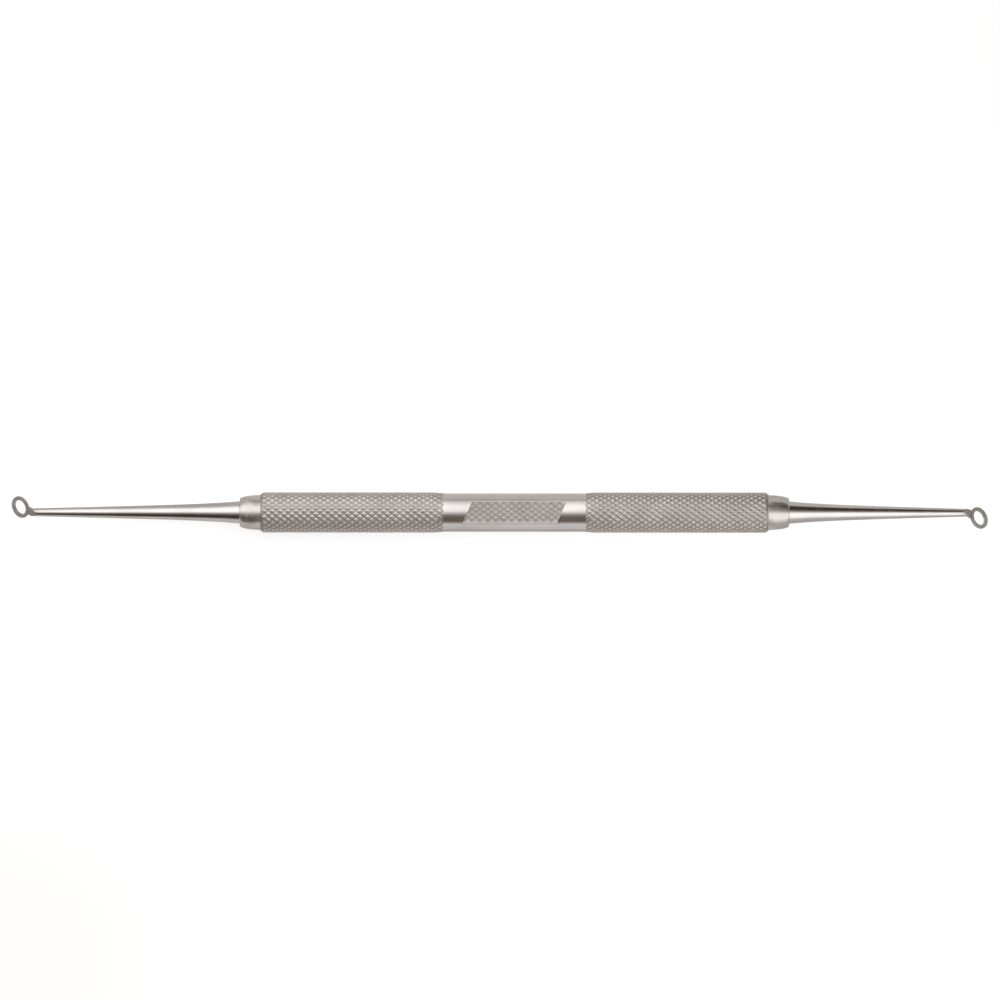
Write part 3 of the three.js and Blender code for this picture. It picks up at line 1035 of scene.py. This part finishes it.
# %% Braze collars
BRAZE_BULGE = 0.012
BRAZE_UNEVEN = 0.008
BRAZE_SKIN = 0.02
BRAZE_WAVES_PER_MM = 2
BRAZE_POINTS = 10
BRAZE_STEPS = 64
BRAZE_CRISP_ANGLE = 40


def braze_mesh(side):
    end = -NECK_RUN
    start = end - BRAZE_LENGTH - 2 * FIT_GAP
    crown = ((start + end) / 2, CONE_TIP_RADIUS + 2 * BRAZE_BULGE)
    bulge = curve_points((start, CONE_TIP_RADIUS), crown, (end, NECK_HALF_WIDTH), BRAZE_POINTS)
    hole = PEG_RADIUS + FIT_GAP
    mesh = turned([(start, hole), *bulge, (end, hole)], BRAZE_STEPS, closed=True)
    for vertex in mesh.vertices:
        out = Vector((0, vertex.co.y, vertex.co.z))
        if out.length > CONE_TIP_RADIUS - BRAZE_SKIN:
            swell = noise.noise(vertex.co * BRAZE_WAVES_PER_MM + Vector((SIDES.index(side), 0, 0)))
            vertex.co += out.normalized() * BRAZE_UNEVEN * swell
    return mesh


for side in SIDES:
    mesh = braze_mesh(side)
    mesh.transform(head_matrix(side))
    new_piece(side + "_braze_bead", mesh, [braze_metal], side + "_braze_collar",
              BRAZE_CRISP_ANGLE)

# %% [markdown]
# ## Table
# The tool lies on a white table. The table glows for the camera and for reflections, so that it
# reads as white without more light on the steel, and a plain matt part of it still takes the tool's
# shadow. Table, tent and cards only set the stage, and one helper makes such an object.

# %% Table
def seen_directly(tree):
    """1 for rays that show a surface as it is: to the camera, in a reflection or through glass."""
    path = tree.nodes.new("ShaderNodeLightPath")
    reflected = maths(tree, "MAXIMUM", path.outputs["Is Glossy Ray"],
                      path.outputs["Is Transmission Ray"])
    return maths(tree, "MAXIMUM", path.outputs["Is Camera Ray"], reflected)


def stage_object(name, points, faces, *finishes):
    """A plain mesh with its finishes, linked to the scene."""
    mesh = bpy.data.meshes.new(name)
    mesh.from_pydata(points, [], faces)
    for finish in finishes:
        mesh.materials.append(finish)
    made = bpy.data.objects.new(name, mesh)
    bpy.context.scene.collection.objects.link(made)
    return made


WHITE = (1, 1, 1, 1)
TABLE_SIZE = 6.0
TABLE_GLOW = 0.78
TABLE_MATT = (0.4, 0.4, 0.4, 1)
table_finish = bpy.data.materials.new("white_table")
table_finish.use_nodes = True
tree = table_finish.node_tree
tree.nodes.clear()
matt = tree.nodes.new("ShaderNodeBsdfDiffuse")
matt.inputs["Color"].default_value = TABLE_MATT
glow = tree.nodes.new("ShaderNodeEmission")
glow.inputs["Color"].default_value = WHITE
feed(tree, glow.inputs["Strength"], maths(tree, "MULTIPLY", seen_directly(tree), TABLE_GLOW))
both = tree.nodes.new("ShaderNodeAddShader")
feed(tree, both.inputs[0], matt.outputs[0])
feed(tree, both.inputs[1], glow.outputs[0])
feed(tree, tree.nodes.new("ShaderNodeOutputMaterial").inputs["Surface"], both.outputs[0])

lowest_point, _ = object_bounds()
half = TABLE_SIZE / 2
corners = [(-half, -half, 0), (half, -half, 0), (half, half, 0), (-half, half, 0)]
table = stage_object("table", corners, [(0, 1, 2, 3)], table_finish)
table.location.z = lowest_point.z
print("table at", round(lowest_point.z / MM, 3), "mm")

# %% [markdown]
# ## Light tent
# Polished steel shows the room and nothing else, so lighting it means building a room. The tool
# lies in a light tent: a half pipe of cloth over the table, bright along one side, dark along the
# other. A round rod mirrors it as a bright band and a dark band along its length. Over the right
# end the cloth is hung the other way round, so there the bands change places. Over the handle its
# dark side is thinner than over the shanks, and over the ferrules its bright side is dimmed low
# down. Grey curtains close the tent at both ends, where the rings look. The camera looks through
# the cloth, which only shows in reflections and lights the table. A group finds a place under the
# tent, because the cards below need the same turn.

# %% Group: where under the tent
TENT_RADIUS = 0.09
TENT_HALF_LENGTH = 0.25
TENT_TURNS_AT = 0.043

under_tent, _, result = new_group(
    "where_under_tent", {}, {"Along": "Float", "Sideways": "Float", "Up": "Float"}
)
spot = under_tent.nodes.new("ShaderNodeSeparateXYZ")
feed(under_tent, spot.inputs[0], under_tent.nodes.new("ShaderNodeTexCoord").outputs["Object"])
over_right_end = maths(under_tent, "GREATER_THAN", spot.outputs["X"], TENT_TURNS_AT)
way_round = maths(under_tent, "MULTIPLY_ADD", over_right_end, -2.0, 1.0)
feed(under_tent, result["Along"], maths(under_tent, "ABSOLUTE", spot.outputs["X"]))
feed(under_tent, result["Sideways"], maths(under_tent, "MULTIPLY", spot.outputs["Y"], way_round))
feed(under_tent, result["Up"], spot.outputs["Z"])
print("group:", under_tent.name)

# %% Cloth of the tent
HANDLE_SHADE = 0.19
HANDLE_LOW_LIGHT = 0.88
HANDLE_LOW_LIGHT_FROM = (math.radians(-54), math.radians(-74))
HANDLE_SHADE_TO = (0.047, 0.05)
CLOTH = (
    (-90, 0.68), (-81, 0.52), (-70, 0.18), (-61, 0.05), (-44, 0.045), (-32, 0.1), (-16, 0.35),
    (-4, 0.8), (9, 1.5), (21, 1.65), (37, 1.65), (50, 1.45), (62, 1.1), (76, 0.68), (90, 0.56),
)
CLOTH_BRIGHTEST = max(level for _, level in CLOTH)
FERRULE_DIM = 0.58
FERRULE_DIM_SIDE = (math.radians(28), math.radians(52))
FERRULE_DIM_FROM = (0.037, 0.041)
FERRULE_DIM_TO = (0.05, 0.054)
SHADE_TINT = (1.0, 0.84, 0.75, 1)
SHADE_TINT_FADES = (0.2, 0.9)


def new_light(name):
    """A material that only shines. Returns it with its node tree and its shader."""
    light = bpy.data.materials.new(name)
    light.use_nodes = True
    tree = light.node_tree
    tree.nodes.clear()
    shine = tree.nodes.new("ShaderNodeEmission")
    feed(tree, tree.nodes.new("ShaderNodeOutputMaterial").inputs["Surface"], shine.outputs[0])
    return light, tree, shine


tent_cloth, tree, shine = new_light("tent_cloth")
spot = place_group(tree, under_tent)
lean = maths(tree, "ARCTAN2", spot["Sideways"], spot["Up"])
ramp = tree.nodes.new("ShaderNodeValToRGB")
feed(tree, ramp.inputs["Fac"], maths(tree, "MULTIPLY_ADD", lean, 1 / math.pi, 0.5))
stops = ramp.color_ramp.elements
while len(stops) < len(CLOTH):
    stops.new(1.0)
for stop, (degrees, level) in zip(stops, CLOTH):
    stop.position = degrees / 180 + 0.5
    stop.color = (*[level / CLOTH_BRIGHTEST] * 3, 1)
brightness = maths(tree, "MULTIPLY", ramp.outputs["Color"], CLOTH_BRIGHTEST)
low_light = stretch(tree, lean, *HANDLE_LOW_LIGHT_FROM, HANDLE_SHADE, HANDLE_LOW_LIGHT)
thinnest = stretch(tree, spot["Along"], *HANDLE_SHADE_TO, low_light, 0.0)
brightness = maths(tree, "MAXIMUM", brightness, thinnest)
dimmed = stretch(tree, lean, *FERRULE_DIM_SIDE, 1.0, FERRULE_DIM)
dimmed = stretch(tree, spot["Along"], *FERRULE_DIM_FROM, 1.0, dimmed)
dimmed = stretch(tree, spot["Along"], *FERRULE_DIM_TO, dimmed, 1.0)
brightness = maths(tree, "MULTIPLY", brightness, dimmed)
feed(tree, shine.inputs["Strength"], brightness)
feed(tree, shine.inputs["Color"],
     blend_colours(tree, stretch(tree, brightness, *SHADE_TINT_FADES), SHADE_TINT, WHITE))
print("cloth with", len(CLOTH), "stops")

# %% Hang the tent
TENT_PANELS = 48
CURTAIN_LEVEL = 0.45

curtain_grey, _, shine = new_light("curtain_grey")
shine.inputs["Strength"].default_value = CURTAIN_LEVEL
hoop = [(TENT_RADIUS * math.cos(turn), TENT_RADIUS * math.sin(turn))
        for turn in np.linspace(0, math.pi, TENT_PANELS + 1)]
tent_points = [(end, across, up)
               for end in (-TENT_HALF_LENGTH, TENT_HALF_LENGTH) for across, up in hoop]
tent_panels = [(i, i + 1, i + TENT_PANELS + 2, i + TENT_PANELS + 1) for i in range(TENT_PANELS)]
curtains = [tuple(range(TENT_PANELS + 1)), tuple(range(TENT_PANELS + 1, 2 * TENT_PANELS + 2))]
tent = stage_object("light_tent", tent_points, tent_panels + curtains, tent_cloth, curtain_grey)
for curtain in tent.data.polygons[TENT_PANELS:]:
    curtain.material_index = 1
tent.visible_camera = False
print("tent of", TENT_PANELS, "panels")

# %% [markdown]
# ## Grey cards
# On a white table the rims of a shiny rod mirror the table and vanish into it. Photographers lay
# grey cards on both sides, so that the rims turn grey and the outline shows. These two lie right
# beside the tool's axis and are only seen by reflections. Beside the handle each of them changes its
# tone a centimetre out, so the handle's rims differ from the bands inside them.

# %% Grey cards
CARD_FROM = 0.0005
CARD_LIFT = 0.0001
HANDLE_TO = (0.036, 0.044)
CARD_TURNS_AT = (0.007, 0.012)
HANDLE_CARDS_NEAR = (0.56, 0.78)
HANDLE_CARDS_FAR = (0.82, 0.76)
SHANK_CARDS = (0.66, 0.55)
CARD_TINT = (1.0, 0.97, 0.95, 1)

card_grey, tree, card_light = new_light("card_grey")
card_light.inputs["Color"].default_value = CARD_TINT
spot = place_group(tree, under_tent)
outward_by = maths(tree, "ABSOLUTE", spot["Sideways"])
card_sides = []
for near, far, by_shank in zip(HANDLE_CARDS_NEAR, HANDLE_CARDS_FAR, SHANK_CARDS):
    by_handle = stretch(tree, outward_by, *CARD_TURNS_AT, near, far)
    card_sides.append(stretch(tree, spot["Along"], *HANDLE_TO, by_handle, by_shank))
feed(tree, card_light.inputs["Strength"],
     stretch(tree, spot["Sideways"], -CARD_FROM, CARD_FROM, *card_sides))

for side, way in (("near", -1), ("far", 1)):
    corners = [(end, way * across, 0) for end, across in (
        (-TENT_HALF_LENGTH, CARD_FROM), (TENT_HALF_LENGTH, CARD_FROM),
        (TENT_HALF_LENGTH, TENT_RADIUS), (-TENT_HALF_LENGTH, TENT_RADIUS))]
    card = stage_object(side + "_card", corners, [(0, 1, 2, 3)], card_grey)
    card.location.z = table.location.z + CARD_LIFT
    card.visible_camera = False
    card.visible_diffuse = False
    card.visible_shadow = False
print("two cards from", CARD_FROM / MM, "mm out")

# %% [markdown]
# ## World
# Outside the tent the room is plain white. The camera and reflections see it as white, and it gives
# the table beyond the tent an even light.

# %% World
ROOM_LIGHT = 0.55
world = bpy.data.worlds.new("white_room")
bpy.context.scene.world = world
world.use_nodes = True
tree = world.node_tree
backdrop = tree.nodes["Background"]
backdrop.inputs["Color"].default_value = WHITE
feed(tree, backdrop.inputs["Strength"],
     maths(tree, "MULTIPLY_ADD", seen_directly(tree), 1 - ROOM_LIGHT, ROOM_LIGHT))
bpy.context.scene.view_settings.view_transform = "Standard"
print("world:", world.name)

# %% [markdown]
# ## Camera
# The photograph looks straight down. A long lens from two metres keeps both ends of the tool at the
# same scale. The tool fills nearly the whole width of the picture and lies a little below its
# middle, a touch askew, so the camera aims a little above the tool's axis and is turned a little.

# %% Camera
PICTURE_SIZE = 1000
PICTURE_MIDDLE = (PICTURE_SIZE - 1) / 2
MM_PER_PIXEL = 0.1535
TOOL_MIDDLE_PIXEL = (499.25, 512.0)
TOOL_ASKEW = math.radians(0.03)
LENS = 500
SENSOR = 36
FARTHEST_SEEN = 20

camera_data = bpy.data.cameras.new("camera")
camera_data.lens = LENS
camera_data.sensor_width = SENSOR
camera_data.clip_end = FARTHEST_SEEN
camera = bpy.data.objects.new("camera", camera_data)
aim_x = (PICTURE_MIDDLE - TOOL_MIDDLE_PIXEL[0]) * MM_PER_PIXEL * MM
aim_y = (TOOL_MIDDLE_PIXEL[1] - PICTURE_MIDDLE) * MM_PER_PIXEL * MM
camera.location = (aim_x, aim_y, PICTURE_SIZE * MM_PER_PIXEL * MM * LENS / SENSOR)
camera.rotation_euler.z = TOOL_ASKEW
bpy.context.scene.collection.objects.link(camera)
bpy.context.scene.camera = camera
print("camera", round(camera.location.z, 3), "m above the tool")
